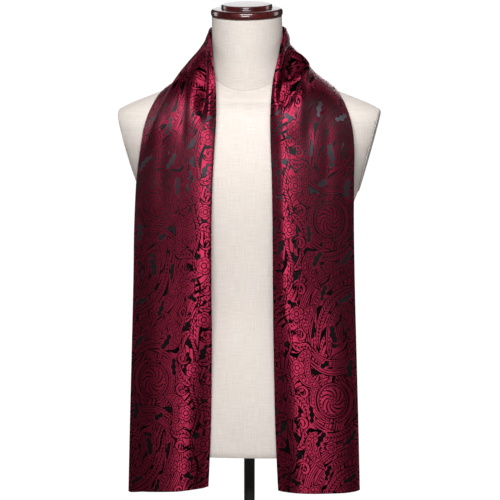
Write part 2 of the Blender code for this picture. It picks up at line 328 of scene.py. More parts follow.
def make_linen(name, tint, seams):
    """Bleached linen, darkened as painted shade where tint is below 1; with seams, the cover's
    seams are drawn where its mesh says they are.
    """
    made, start = new_finish(name)
    cloth = start.node("UVMap", {"uv_map": "cloth"})
    uneven = slubs(cloth, SLUB, SLUB_LENGTH) + slubs(cloth, SLUB_LENGTH, SLUB) - 1.0
    shade = (uneven * 0.55 + (cloth.noise(9.0) - 0.5) * 0.25 + 0.5).math("MINIMUM", 1.0)
    height = weave(cloth, LINEN_PITCH) * 0.25 + uneven * 0.5
    if seams:
        seam = abs(start.attribute("seam"))
        shade = shade * (1 - (1 - seam.fade(0.2, 1.1)) * 0.55)
        height = height - (1 - seam.fade(0.0, 2.6)) * 1.6
    dress(start, {
        "Base Color": shade.colour(SHADED_LINEN * tint, LIT_LINEN * tint), "Roughness": 0.86,
        "Normal": height.bump(0.0004, 0.5), "Specular IOR Level": 0.25,
    })
    return made


linen = make_linen("bleached_linen", (1, 1, 1), True)
print("linen nodes", len(linen.node_tree.nodes))

# %% [markdown]
# ## The form
#
# A moulded torso, rounder at the chest and flat at the armholes, with a neck that leans forward.
# Its cover is sewn from a front, a back and a neck piece, so a seam runs round the root of the
# neck and one down each side. The rings are the solid's own, read closer together. The lower edge
# is rounded, because the cover is turned under there.

# %% Torso rows
BODY = (
    # level, half width, front, back, square, lean, tilt
    (0, 166, 105, 100, 2.40, 0, 0.00),
    (70, 170, 108, 106, 2.40, 0, 0.00),
    (160, 160, 104, 98, 2.35, 0, 0.00),
    (250, 148, 98, 86, 2.30, 0, 0.00),
    (340, 158, 105, 92, 2.35, 0, 0.00),
    (420, 176, 114, 104, 2.40, 0, 0.00),
    (460, 192, 116, 110, 2.45, 0, 0.00),
    (500, 211, 113, 113, 2.45, 0, 0.00),
    (540, 228, 104, 110, 2.40, -1, 0.01),
    (565, 231, 93, 104, 2.35, -3, 0.03),
    (580, 221, 85, 97, 2.30, -4, 0.06),
    (590, 201, 80, 90, 2.25, -6, 0.10),
    (600, 174, 76, 84, 2.20, -9, 0.15),
    (610, 144, 73, 79, 2.15, -12, 0.21),
    (620, 112, 70, 74, 2.10, -14, 0.28),
    (630, 87, 67, 70, 2.05, -17, 0.34),
    (641, 72, 65, 66, 2.00, -19, 0.36),
    (654, 65, 63, 63, 2.00, -23, 0.33),
    (670, 61, 61, 61, 2.00, -27, 0.27),
    (700, 59.5, 59.5, 59.5, 2.00, -35, 0.18),
    (737, 58.5, 58.5, 58.5, 2.00, -44, 0.132),
)
BODY_SIDES, RINGS_PER_ROW = 128, 6
LOWER_EDGE = ((0.970, 0.0), (0.985, 0.36), (0.996, 1.35))  # share of the width, and millimetres up
NECK_LEVEL = BODY[-1][0]


def body_rings():
    """Every ring of the torso, as a grid of points in millimetres."""
    rows = np.array(BODY)
    levels = np.concatenate([
        np.linspace(low, high, RINGS_PER_ROW, endpoint=False)
        for low, high in zip(rows[:-1, 0], rows[1:, 0])
    ] + [[NECK_LEVEL]])
    level, half, front, rear, square, lean, tilt = (
        column[:, None] for column in smooth_rows(rows[:, 0], rows, levels).T
    )
    turn = np.linspace(0, 2 * np.pi, BODY_SIDES, endpoint=False)[None, :]
    side, depth = np.cos(turn), np.sin(turn)
    reach = (np.abs(side) ** square + np.abs(depth) ** square) ** (-1 / square)
    y = np.where(depth > 0, rear, front) * reach * depth
    return np.stack([half * reach * side, y + lean, level + tilt * y], axis=2)


rings = body_rings()
edge = [rings[0] * (share, share, 1) + (0, 0, lift) for share, lift in LOWER_EDGE]
rings = np.concatenate([np.stack(edge), rings[1:]])
print("torso rings", len(rings))

# %% [markdown]
# The armholes are cut with a plane that leans in towards the waist, as the solid's are. The cut
# leaves its outline, and a covered board fills it.

# %% Torso piece
ARMHOLE_X, ARMHOLE_LEVEL, ARMHOLE_FLOOR = 221, 580, 400
ARMHOLE_SLANT = math.radians(15)
ON_PLANE, SAME_POINT = 0.01, 0.3  # millimetres within which the cut meets points and joins them
FORM_EDGE = math.radians(50)  # an edge that turns further than this is sharp
openings = {}


def armhole_plane(side):
    """A point of the armhole's plane and its outward normal, in metres."""
    spot = Vector((side * ARMHOLE_X * MM, 0, FORM_BOTTOM + ARMHOLE_LEVEL * MM))
    return spot, Vector((side * math.cos(ARMHOLE_SLANT), 0, -math.sin(ARMHOLE_SLANT)))


def open_rim(form, side):
    return [item for item in form.edges if item.is_boundary and item.verts[0].co.x * side > 0]


def cut_armholes(form):
    """Cut each stub of arm off flat, and keep the outline of the opening."""
    floor = FORM_BOTTOM + ARMHOLE_FLOOR * MM
    for side in (-1, 1):
        spot, normal = armhole_plane(side)
        chest = [vert for vert in form.verts if vert.co.z > floor]
        for kind in (form.edges, form.faces):
            chest += [item for item in kind if all(vert.co.z > floor for vert in item.verts)]
        bmesh.ops.bisect_plane(
            form, geom=chest, dist=ON_PLANE * MM, plane_co=spot, plane_no=normal, clear_outer=True
        )
        corners = {vert for item in open_rim(form, side) for vert in item.verts}
        bmesh.ops.remove_doubles(form, verts=list(corners), dist=SAME_POINT * MM)
        opening = bmesh.ops.edgeloop_fill(form, edges=open_rim(form, side))["faces"][0]
        openings[side] = [vert.co.copy() for vert in opening.verts]


points = (rings * MM + FORM_FLOOR).reshape(-1, 3)
faces = tube_faces(len(rings), BODY_SIDES)
torso = add_piece("linen_torso", points, faces, linen, ("form_body",), cut_armholes)
torso.data.set_sharp_from_angle(angle=FORM_EDGE)
print("torso faces", len(torso.data.polygons))

# %% [markdown]
# The seams are told to the mesh as one number for each point: how many millimetres it lies from
# the nearest seam. The shader then draws the stitched groove wherever that number is near 0, as
# finely as the picture needs.

# %% Seams and grain
SEAM_LEVEL = 613  # the neck seam at the front
SEAM_RISE, RISE_PACE = 60, 1.05  # how much higher it lies far round the neck, and how soon
NECK_MIDDLE, NECK_REACH = -20, 110
SIDE_SEAM, SIDE_TOP = 4.0, 560  # how far back the side seam lies, and where it ends
NO_SEAM = 100.0
GRAIN_RADIUS = 130  # millimetres of cloth for each radian round the form


def seam_distance(spots):
    """Signed distance from the neck seam or a side seam, whichever is nearer, in millimetres."""
    x, y, level = spots.T
    round_neck = np.arctan2(x, NECK_MIDDLE - y)
    rise = SEAM_RISE * (1 - np.exp(-RISE_PACE * (1 - np.cos(round_neck))))
    near_neck = np.hypot(x, y - NECK_MIDDLE) < NECK_REACH
    neck = np.where(near_neck, level - (SEAM_LEVEL + rise), NO_SEAM)
    side = np.where(level < SIDE_TOP, y - SIDE_SEAM, NO_SEAM)
    return np.where(np.abs(neck) < np.abs(side), neck, side)


def read_all(items, name, kind=int, width=1):
    """One property of all a mesh's points, corners or faces, as a row of numbers."""
    row = np.empty(len(items) * width, kind)
    items.foreach_get(name, row)
    return row


def spots_of(mesh):
    """The mesh's points in millimetres above the form's lower edge."""
    return (read_all(mesh.vertices, "co", float, 3).reshape(-1, 3) - FORM_FLOOR) / MM


def lay_cloth(mesh, lengths):
    """Give each corner its place on the flat cloth, in metres, as a UV map."""
    mesh.uv_layers.new(name="cloth").data.foreach_set("uv", (lengths * MM).ravel())


def lay_grain(mesh, spots):
    """Measure the cover's cloth round and up the form."""
    round_form = np.arctan2(spots[:, 0], -spots[:, 1]) * GRAIN_RADIUS
    corner = read_all(mesh.loops, "vertex_index")
    lay_cloth(mesh, np.stack([round_form, spots[:, 2]], axis=1)[corner])


def keep(mesh, name, kind, values):
    """Keep numbers on a mesh's points, for its shader to read."""
    word = "vector" if kind == "FLOAT_VECTOR" else "value"
    mesh.attributes.new(name, kind, "POINT").data.foreach_set(word, np.ravel(values))


torso_spots = spots_of(torso.data)
lay_grain(torso.data, torso_spots)
keep(torso.data, "seam", "FLOAT", seam_distance(torso_spots))
print("points within 2 mm of a seam", int((np.abs(seam_distance(torso_spots)) < 2).sum()))

# %% [markdown]
# ## Armhole boards
#
# Each opening is closed by a flat board wrapped in the same linen, made a little darker as painted
# shade, with a softly rounded edge and a turned-in rim that leaves a thin dark line round it.

# %% Armhole boards
BOARD_STEPS = (  # share of the opening, and millimetres out
    (0.965, 0.0), (0.972, 0.6), (0.968, 1.1), (0.955, 1.4), (0.92, 1.6), (0.60, 1.8), (0.25, 1.9),
)
BOARD_GAP = 0.3
# painted shade: the boards' linen is a slightly darker copy of the torso's linen
shaded_board_linen = make_linen("shaded_board_linen", (0.93, 0.93, 0.94), False)
boards = []
for side, outline in openings.items():
    name = "armhole_board_" + ("right" if side > 0 else "left")
    middle = sum(outline, Vector()) / len(outline)
    normal = armhole_plane(side)[1]
    loops = [
        middle + (point - middle) * share + normal * ((lift + BOARD_GAP) * MM)
        for share, lift in BOARD_STEPS for point in outline
    ]
    faces = tube_faces(len(BOARD_STEPS), len(outline))
    board = add_piece("covered_" + name, loops, faces, shaded_board_linen, (name,))
    lay_grain(board.data, spots_of(board.data)[:, [1, 0, 2]])
    boards.append(board)
print("boards", len(boards))

# %% [markdown]
# ## Turned parts
#
# The cap, the pole and the base are turned, so each is one profile carried round its axis. A
# profile is a list of radius and height with the small rounds and coves that a turner leaves.


# %% Turning
TURNED_EDGE = math.radians(35)


def turned_grid(profile, sides):
    """Points of a profile of (radius, height), in millimetres, carried round Z."""
    turn = np.linspace(0, 2 * np.pi, sides, endpoint=False)
    radius, height = np.array(profile, float).T
    return np.stack([
        radius[:, None] * np.cos(turn), radius[:, None] * np.sin(turn),
        np.repeat(height[:, None], sides, axis=1),
    ], axis=2)


def soften(profile, rounds=2):
    """Cut each corner of a profile twice over, which leaves it rounded."""
    line = np.array(profile, float)
    for _ in range(rounds):
        ahead = line[1:]
        line = np.concatenate([
            line[:1], np.stack([0.75 * line[:-1] + 0.25 * ahead, 0.25 * line[:-1] + 0.75 * ahead],
                               axis=1).reshape(-1, 2), line[-1:],
        ])
    return line


def turned_piece(name, profile, finish, replaces, sides=96, place=lambda grid: grid):
    """A turned piece, whose ends are closed by flat discs."""
    grid = place(turned_grid(profile, sides))
    faces = tube_faces(len(profile), sides)
    piece = add_piece(name, grid.reshape(-1, 3) * MM, faces, finish, replaces)
    piece.data.set_sharp_from_angle(angle=TURNED_EDGE)
    return piece


print("turning ready")

# %% [markdown]
# ## Neck cap
#
# Two steps of mahogany under a thick gloss lacquer. The grain only just shows through the dark red
# stain: noise drawn out across the disc, with a clear coat over it.

# %% Cap
wood, start = new_finish("mahogany_lacquer")
grain = start.node("VectorMath", {"operation": "MULTIPLY"}, {0: place_of(start), 1: (9, 160, 60)})
stain = grain.noise(1.0, Detail=4.0).fade(0.3, 0.7)
dress(start, {
    "Base Color": stain.colour((0.030, 0.004, 0.005), (0.105, 0.012, 0.012)), "Roughness": 0.28,
    "Coat Weight": 1.0, "Coat Roughness": 0.09,
})

CAP_LIFT = 0.6
CAP_PROFILE = soften((
    (56.0, 0.0), (58.6, 0.4), (60.0, 3.0), (60.2, 7.6), (58.8, 11.4), (54.5, 12.9), (45.0, 13.2),
    (43.0, 13.6), (42.4, 14.6), (42.8, 17.4), (41.9, 19.6), (38.0, 20.2), (20.0, 20.4), (4.0, 20.5),
))


def on_neck(grid):
    """Tilt the cap square to the top of the neck, and set it there."""
    lean, slope = BODY[-1][5], math.atan(BODY[-1][6])
    x, y, z = np.moveaxis(grid, 2, 0)
    return np.stack([
        x,
        y * math.cos(slope) - z * math.sin(slope) + lean,
        y * math.sin(slope) + z * math.cos(slope) + NECK_LEVEL + CAP_LIFT + FORM_BOTTOM / MM,
    ], axis=2)


cap = turned_piece("turned_neck_cap", CAP_PROFILE, wood, ("neck_cap",), place=on_neck)
print("cap faces", len(cap.data.polygons))

# %% [markdown]
# ## Stand
#
# A steel pole in a heavy round base, both under smooth black gloss paint. Paint on a cast base is
# never quite flat, so a slow noise moves its roughness a little.

# %% Stand
paint, start = new_finish("black_gloss_paint")
steel = place_of(start)
patches = steel.noise(14.0)
dress(start, {
    "Base Color": patches.colour((0.012, 0.009, 0.008), (0.021, 0.016, 0.014)),
    "Roughness": patches.fade(0.3, 0.7) * 0.06 + 0.52,
    "Coat Weight": 0.3, "Coat Roughness": 0.1, "Normal": steel.noise(350.0).bump(0.00005, 0.4),
})

pole_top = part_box("stand_pole")[1].z / MM
POLE_PROFILE = ((8.0, 5.0), (9.2, 6.0), (9.2, pole_top - 1), (8.2, pole_top))
turned_piece("painted_pole", POLE_PROFILE, paint, ("stand_pole",), sides=64)
BASE_PROFILE = soften((
    (9.7, 4.7), (9.7, 33.4), (10.6, 34.0), (19.0, 34.0), (20.8, 33.2), (21.0, 30.0), (21.0, 17.0),
    (23.0, 13.4), (28.0, 12.3), (60.0, 11.5), (100.0, 10.0), (138.0, 8.0), (147.0, 6.2),
    (150.0, 3.2), (149.4, 0.6), (147.0, 0.0), (60.0, 0.0), (8.0, 0.0),
))
turned_piece("painted_base", BASE_PROFILE, paint, ("stand_base",), sides=128)
print("pole to %.0f mm" % pole_top)

# %% [markdown]
# ## The scarf's shape
#
# A long band of silk, folded double along its length, is laid round the back of the neck. Behind,
# it stands up like a collar and spreads over the shoulder blades; in front, its two ends hang
# straight. A simulation would find some drape of its own. This one has to be the drape that was
# arranged by hand, so it is drawn: a row for each section across the band, from the nape to the
# hem, and then the folds one by one.

# %% Scarf rows
PANEL = 158.0  # the width of the doubled band, in millimetres round its curve
INNER, OUTER, BOW, SHIFT = slice(0, 3), slice(3, 6), 6, 7
SECTIONS = (
    # inner edge x, y, z, outer edge x, y, z, bow, shift
    (0, 32, 719, 0, 110, 583, -4, 0),
    (36, 22, 720, 42, 107, 588, 0, 0),
    (59, -8, 719, 78, 92, 600, 2, 0),
    (63, -38, 713, 104, 67, 613, 2, 0),
    (59, -60, 695, 126, 38, 620, 2, 0),
    (54.8, -77, 668, 139, 7, 618, 5, 2),
    (49, -89, 640, 148.5, -26, 610, 9, 3),
    (45.5, -100, 606, 160.5, -62, 590.5, 13, 5),
    (44.7, -110, 568, 172, -84, 559, 13, 6),
    (46, -117, 525, 178, -91, 518, 12, 5),
    (48, -121, 480, 181, -93, 474, 12, 2),
    (49.5, -124, 410, 183, -95, 405, 13, 0),
    (50.5, -125, 300, 185, -98, 298, 14, 0),
    (53, -124, 170, 188.5, -99, 168, 15, 0),
    (56, -122, 50, 192, -99, 48, 16, 0),
    (60.5, -121, -50, 194.5, -99, -54, 16, 0),
)


def lengths_along(line):
    """How far along a line each of its points lies."""
    return np.concatenate([[0], np.cumsum(np.linalg.norm(np.diff(line, axis=0), axis=1))])


def whole_band():
    """The sections from hem to hem, and how far each lies from the nape along the middle."""
    side = np.array(SECTIONS, float)
    mirror = side[:0:-1] * (-1, 1, 1, -1, 1, 1, 1, 1)
    rows = np.vstack([mirror, side])
    rows[:, OUTER.start] += rows[:, SHIFT]
    runs = lengths_along((rows[:, INNER] + rows[:, OUTER]) / 2)
    return runs - runs[len(mirror)], rows


BAND_RUNS, BAND_ROWS = whole_band()
print("band %.0f mm from hem to hem" % (BAND_RUNS[-1] - BAND_RUNS[0]))

# %% [markdown]
# A fold is a soft trough or ridge that wanders across the band as it runs along it. Its two walls
# differ, because cloth that slides off a neck leans. The first rows are the large folds that the
# solid has too: the deep pocket at the right of the neck, and at the left a trough, a flat ridge
# and the pinch above the shoulder. Then come the small creases that hang from them, others like
# them behind, where the band turns round the nape, and the slow waves and rolled edges of the
# ends.

# %% Fold table
FOLDS = (
    # side, from run, to run, from across, to across, inner wall, outer wall, depth
    (1, 60, 215, 0.24, 0.19, 0.06, 0.07, 7.5),
    (1, 100, 262, 0.18, 0.10, 0.05, 0.15, 11),
    (1, 80, 300, 0.52, 0.34, 0.12, 0.12, -7),
    (1, 190, 322, 0.16, 0.10, 0.12, 0.16, -4.5),
    (1, 90, 300, 0.045, 0.045, 0.03, 0.035, -3.5),
    (-1, 100, 282, 0.175, 0.195, 0.055, 0.08, 16.5),
    (-1, 60, 330, 0.26, 0.92, 0.24, 0.11, -9),
    (-1, 110, 300, 0.075, 0.085, 0.04, 0.045, -3.0),
    (-1, 80, 260, 0.66, 0.88, 0.07, 0.10, 6),
    # small creases
    (1, 70, 200, 0.60, 0.44, 0.03, 0.05, 2.2),
    (1, 150, 330, 0.50, 0.42, 0.05, 0.07, 1.4),
    (1, 190, 420, 0.72, 0.62, 0.07, 0.09, 1.2),
    (-1, 130, 330, 0.44, 0.40, 0.04, 0.06, 1.5),
    (-1, 180, 420, 0.70, 0.63, 0.07, 0.09, 1.3),
    # behind
    (1, -70, 95, 0.36, 0.30, 0.06, 0.10, 3.0),
    (1, -110, 60, 0.66, 0.60, 0.08, 0.12, 2.4),
    (-1, -40, 110, 0.52, 0.46, 0.07, 0.11, 2.6),
    # the ends, which hang almost smooth
    (1, 430, 860, 0.30, 0.36, 0.10, 0.16, 0.9),
    (1, 520, 900, 0.68, 0.62, 0.13, 0.13, -1.1),
    (-1, 400, 800, 0.34, 0.40, 0.14, 0.12, 1.0),
    (-1, 480, 900, 0.72, 0.66, 0.12, 0.14, -1.2),
    # the inner edges, which lie open on the chest and roll back lower down
    (1, 150, 640, 0.14, 0.14, 0.10, 0.50, -4.5),
    (1, 170, 640, 0.85, 0.85, 0.40, 0.15, 3.5),
    (1, 240, 640, 0.0, 0.0, 0.10, 0.20, -3.5),
    (-1, 240, 640, 0.0, 0.0, 0.10, 0.20, -3.5),
    (1, 490, 1300, 0.0, 0.0, 0.10, 0.15, 11.0),
    (-1, 430, 1300, 0.0, 0.0, 0.10, 0.20, 12.5),
)
FOLD_RISE, FOLD_FALL = 2.2, 4.0  # how steeply a fold begins and ends along its run
print("folds", len(FOLDS))

# %% [markdown]
# The pocket at the right of the neck has a rolled rim that turns a corner, which no straight fold
# can do. A roll therefore follows a line through a few places on the cloth, and its height depends
# on the distance from that line. One roll goes round the pocket, one closes it below, and the
# third is the drop just inside them.

# %% Rolls
ROLL_REACH, ROLL_LIMIT = 25, 0.6  # how far along and across the band a roll is felt
ROLLS = (
    # side, half width and depth in millimetres, places (run, across) that it goes through
    (1, 10.0, -7.5, ((118, 0.24), (136, 0.32), (158, 0.395), (182, 0.41), (206, 0.345),
                     (230, 0.28))),
    (1, 6.5, -5.0, ((180, 0.38), (207, 0.31), (237, 0.245), (250, 0.145), (243, 0.03))),
    (1, 8.0, 10.0, ((128, 0.23), (148, 0.29), (170, 0.305), (190, 0.265), (203, 0.20))),
)


def smooth_step(share):
    share = np.clip(share, 0, 1)
    return share * share * (3 - 2 * share)


def curve(points, steps=10):
    """A smooth line through a few points: many points, evenly read between them."""
    points = np.array(points, float)
    stops = lengths_along(points)
    at = np.linspace(0, stops[-1], steps * (len(points) - 1) + 1)
    return smooth_rows(stops, points, at) if len(points) > 2 else points


def nearest_stretch(spots, line):
    """For each spot: a line's nearest stretch, the share along it, the distance and the way."""
    start, step = line[:-1], np.diff(line, axis=0)
    away = spots[:, None, :] - start
    share = (away * step).sum(2) / (step**2).sum(1)
    apart = np.linalg.norm(away - np.clip(share, 0, 1)[:, :, None] * step, axis=2)
    nearest = apart.argmin(1)
    pick = np.arange(len(spots)), nearest
    return nearest, share[pick], apart[pick], away[pick]


def roll_depth(run, across):
    """How far the rolls push the cloth in, each by the distance from its line."""
    depth = np.zeros(np.broadcast(run, across).shape)
    for side, half_width, deep, places in ROLLS:
        line = curve(np.array(places) * (1, PANEL), 4)
        low, high = line[:, 0].min() - ROLL_REACH, line[:, 0].max() + ROLL_REACH
        near = np.nonzero((side * run > low) & (side * run < high) & (across < ROLL_LIMIT))
        spots = np.stack(np.broadcast_arrays(side * run, across * PANEL), axis=-1)[near]
        nearest, share, apart, _ = nearest_stretch(spots, line)
        along = (nearest + np.clip(share, 0, 1)) / (len(line) - 1)
        swell = smooth_step(4 * along) * smooth_step(4 * (1 - along))
        depth[near] += deep * swell * np.exp(-((apart / half_width) ** 2))
    return depth


print("rolls", len(ROLLS))

# %% [markdown]
# The band's middle is the straight line from edge to edge, bowed outwards, less the depth of the
# folds and rolls. A plain arch has the power 2. A higher power keeps the middle flat and rolls the
# edges back, as on the chest.

# %% Middle of the band
EDGE_ROLL = ((0, 3.6), (420, 3.6), (760, 2.3), (1200, 2.3))
RIGHT_OUTER_ROLL = ((0, 3.6), (560, 3.2), (680, 5.0), (820, 5.0), (1200, 3.6))


def fold_depth(run, across):
    """How far the folds push the cloth in at one place, in millimetres."""
    depth = np.zeros(np.broadcast(run, across).shape)
    for side, start, end, across_start, across_end, inner_wall, outer_wall, deep in FOLDS:
        share = np.clip((side * run - start) / (end - start), 0, 1)
        middle = across_start + (across_end - across_start) * share
        swell = np.clip(FOLD_RISE * share, 0, 1) * np.clip(FOLD_FALL * (1 - share), 0, 1)
        swell = smooth_step(swell)
        wall = np.where(across < middle, inner_wall, outer_wall)
        depth += deep * swell * np.exp(-(((across - middle) / wall) ** 2))
    return depth + roll_depth(run, across)


def unit(arrows):
    """The same ways, with a length of 1."""
    return arrows / np.linalg.norm(arrows, axis=2, keepdims=True)


def band_middle(runs, across):
    """Points on the middle of the doubled cloth, for a grid of runs and of shares across."""
    across = np.broadcast_to(across, runs.shape)
    read, after, before = (
        smooth_rows(BAND_RUNS, BAND_ROWS, runs.ravel() + step).reshape(*runs.shape, -1)
        for step in (0.0, 1.0, -1.0)
    )
    ahead = after - before
    inner, outer = read[..., INNER], read[..., OUTER]
    out = unit(np.cross(ahead[..., INNER] + ahead[..., OUTER], outer - inner))
    roll, right_outer = (np.interp(np.abs(runs), *zip(*rows))
                         for rows in (EDGE_ROLL, RIGHT_OUTER_ROLL))
    roll = np.where((runs > 0) & (across > 0.5), right_outer, roll)
    lift = read[..., BOW] * (1 - np.abs(2 * across - 1) ** roll) - fold_depth(runs, across)
    return inner + (outer - inner) * across[..., None] + out * lift[..., None]


depths = fold_depth(BAND_RUNS[:, None], np.linspace(0, 1, 41)[None, :])
print("deepest fold %.1f mm" % depths.max())

# %% [markdown]
# The section of the band is a flat loop: up the outer face, round the fold at one edge, and back
# along the under face. The folded edges are a little fuller than the middle, because silk doesn't
# crease flat unless it is pressed. Each point of the loop keeps how far it lies from the inner
# fold along the cloth itself, so the woven pattern can run over the fold and on under it.

# %% Section loop
FACE_COLUMNS = 61
HALF_CLOTH, FOLD_FULLNESS, FULLNESS_REACH = 1.15, 0.45, 5.0
TURN = np.radians((90, 62, 31))  # where the round of a folded edge has its points


def half_thickness(across):
    """Half the thickness of the doubled cloth, fuller at its folded edges."""
    from_edge = np.minimum(across, 1 - across) * PANEL
    return HALF_CLOTH + FOLD_FULLNESS * np.exp(-((from_edge / FULLNESS_REACH) ** 2))


def section_loop():
    """For each point round the loop: share across, way past the edge, lift, cloth length."""
    round_off = HALF_CLOTH + FOLD_FULLNESS
    margin = round_off / PANEL
    face = np.linspace(margin, 1 - margin, FACE_COLUMNS)
    face_half = [(a, 0.0, half_thickness(a), a * PANEL) for a in face]
    fold_in = [(margin, -round_off * math.sin(t), round_off * math.cos(t),
                margin * PANEL * (1 - t / TURN[0])) for t in TURN]
    fold_out = [(1 - margin, round_off * math.sin(t), round_off * math.cos(t),
                 PANEL * (1 - margin * (1 - t / TURN[0]))) for t in TURN[::-1]]
    upper = fold_in + face_half + fold_out
    under = [(a, out, -lift, 2 * PANEL - length) for a, out, lift, length in upper[-2:0:-1]]
    return np.array(upper + under).T, len(upper)


LOOP, UPPER = section_loop()
print("points round the section", LOOP.shape[1])

# %% [markdown]
# The rows of the mesh follow the run of the cloth from hem to hem. The hems aren't quite square to
# it: at the left the inner corner is drawn up, and at the right the outer one. Round the neck the
# cloth is gathered, so there are a few centimetres more of it than the way round.

# %% Scarf grid
ROW_STEP = 2.5
HEM_REACH = 70.0  # how far up the end the hem's slant is felt
HEMS = {
    # side: how much longer the end is at each share across, in millimetres
    -1: ((0.0, -4.0), (0.06, -1.5), (0.35, 1.5), (0.8, 3.0), (0.96, 5.5), (1.0, 4.5)),
    1: ((0.0, 1.0), (0.05, 2.0), (0.45, 1.0), (0.8, -1.0), (0.95, -3.0), (1.0, -4.5)),
}
GATHER, GATHER_REACH = 70.0, 150.0
HEM_ROUND = ((0.7, 0.8), (1.1, 0.35))  # beyond the hem, and share of the thickness
PROBE_RUN, PROBE_ACROSS = 0.5, 0.002  # steps for finding which way the cloth faces


def hem_slant(run, across):
    """Extra length at one place, in millimetres along the run."""
    extra = np.zeros(np.broadcast(run, across).shape)
    for side, stops in HEMS.items():
        end = BAND_RUNS[-1] if side > 0 else -BAND_RUNS[0]
        near = smooth_step((side * run - end + HEM_REACH) / HEM_REACH)
        share, longer = zip(*stops)
        extra += side * near * np.interp(across, share, longer)
    return extra


def scarf_grid():
    """Points of the scarf in millimetres, and how far along the cloth each row lies."""
    count = round((BAND_RUNS[-1] - BAND_RUNS[0]) / ROW_STEP) + 1
    runs = np.linspace(BAND_RUNS[0], BAND_RUNS[-1], count)
    shares = np.ones(count)
    for beyond, share in HEM_ROUND:
        runs = np.concatenate([[BAND_RUNS[0] - beyond], runs, [BAND_RUNS[-1] + beyond]])
        shares = np.concatenate([[share], shares, [share]])
    across, past, lift, length = (row[None, :] for row in LOOP)
    spread = runs[:, None] + hem_slant(runs[:, None], across)
    along = band_middle(spread + PROBE_RUN, across) - band_middle(spread - PROBE_RUN, across)
    sideways = unit(band_middle(spread, across + PROBE_ACROSS)
                    - band_middle(spread, across - PROBE_ACROSS))
    out = unit(np.cross(along, sideways))
    points = band_middle(spread, across) + sideways * past[:, :, None]
    points += out * (lift * shares[:, None])[:, :, None]
    gathered = spread - GATHER * (1 - smooth_step(spread / (2 * GATHER_REACH) + 0.5))
    return points, np.broadcast_to(length, spread.shape), gathered


scarf_points, cloth_p, cloth_q = scarf_grid()
print("scarf grid %d by %d" % scarf_points.shape[:2])

# %% [markdown]
# ## The woven pattern
#
# The silk is a jacquard: a crimson figure on a black ground, in the old paisley manner of leaves
# that curl, feathers, rope bands, rosettes and small flowers. Nothing here is copied: each stroke
# is laid out on a plain repeat of 158 by 300 mm, with the inner fold at p = 0 and q running down
# the cloth. A stroke is a spine through a few points with a width that swells along it.

# %% Open ground
REPEAT = np.array([PANEL, 300.0])
PLAIN, LINED, BEADED, FEATHERED, ROPE, PAISLEY, GAP_SHAPE = range(7)
OPEN = 10  # added to the kind of a stroke that stands on open ground
STROKES = []  # kind, half width, where it is widest, points (p, q)


def leave_open(*rows):
    """Strokes of bare ground, from rows of half width, where it is widest, and points."""
    STROKES.extend((GAP_SHAPE, half_width, widest, points) for half_width, widest, *points in rows)


leave_open(
    (8.5, 0.45, (110, 346), (122, 322), (138, 300)),
    (8, 0.5, (66, 112), (52, 136), (40, 160), (44, 182)),
    (7.5, 0.4, (18, 30), (40, 44), (58, 40)),
    (7, 0.5, (-4, 76), (12, 94), (8, 120)), (7, 0.5, (0, 146), (16, 166), (6, 192)),
    (8, 0.5, (30, 182), (46, 204), (34, 236)), (7, 0.5, (2, 220), (18, 244), (6, 268)),
    (7.5, 0.5, (22, 262), (42, 280), (24, 304)), (6, 0.5, (84, 206), (110, 212), (142, 200)),
    (7.5, 0.5, (52, 92), (70, 82), (90, 86)), (7.5, 0.5, (132, 96), (150, 84), (168, 92)),
    (6.5, 0.5, (58, 268), (64, 246), (78, 228)), (5.5, 0.5, (138, 176), (154, 162), (162, 140)),
    (6.5, 0.5, (70, 330), (74, 312), (72, 292)),
)
print("strokes so far", len(STROKES))

# %% [markdown]
# Much of the pattern comes in families: a sheaf of feathers that fan out between two spines, a
# crescent that hugs a rosette, and a curl that winds up to a bead. Each has a small function, so
# the table stays short.


# %% Families of strokes
def sheaf(kinds, half_width, widest, first, last):
    """Strokes side by side that fan out from one spine to another."""
    first, last = curve(first), curve(last)
    for kind, share in zip(kinds, np.linspace(0, 1, len(kinds))):
        STROKES.append((kind, half_width, widest, first + (last - first) * share))


def arc(kind, half_width, widest, middle, radius, turn):
    """A stroke through a row of angles, in degrees clockwise from +p, at one or more radii."""
    turn = np.radians(turn)
    points = np.array(middle) + np.stack([radius * np.cos(turn), radius * np.sin(turn)], 1)
    STROKES.append((kind, half_width, widest, points))


def crescent(kind, half_width, middle, radius, start, end):
    """A stroke that follows a circle, from one angle to another."""
    arc(kind, half_width, 0.5, middle, radius, np.linspace(start, end, 9))


def curl(middle, radius, start, way, half_width):
    """A stroke that winds in, a little more than once round, to a bead at its end."""
    turn = start + way * np.linspace(0, 400, 16)
    arc(PLAIN + OPEN, half_width, 0.6, middle, radius * np.linspace(1, 0.20, 16), turn)


def leaf(kind, half_width, *points, widest=0.45):
    STROKES.append((kind + OPEN, half_width, widest, points))


print("families ready")

# %% [markdown]
# The outer half of the repeat is one large rosette with crescents round it, and a fan of feathers
# that sweeps over it. The inner half is a rope with curls and feathers on both sides. Three
# paisley drops fill the corners, and a few more bays of open ground are cut in last.

# %% Strokes of the repeat
ROSETTE, FAN = (108, 130), (112, 318)
sheaf((LINED + OPEN, BEADED, FEATHERED + OPEN), 7.6, 0.55,
      ((52, 352), (50, 306), (58, 262), (84, 228), (120, 208), (162, 198)),
      ((84, 350), (84, 322), (92, 290), (110, 264), (134, 248), (164, 242)))
leaf(BEADED, 8.0, (104, 358), (104, 328), (110, 300), (124, 280), (142, 274), (154, 288),
     (152, 306), (142, 312))
leaf(LINED, 7.0, (128, 342), (124, 322), (128, 304), (138, 296), widest=0.4)
curl((142, 326), 12, 200, 1, 2.9)
curl((148, 350), 11, 20, -1, 2.7)
for row in (
    (BEADED, 6.2, FAN, 50, 20, 165), (LINED + OPEN, 5.8, FAN, 65, 28, 152),
    (BEADED, 5.8, ROSETTE, 37.5, 92, 264), (LINED + OPEN, 5.8, ROSETTE, 51, 85, 240),
    (PLAIN, 4.2, ROSETTE, 36, -78, 84), (LINED + OPEN, 5.0, ROSETTE, 47, -62, 62),
):
    crescent(*row)
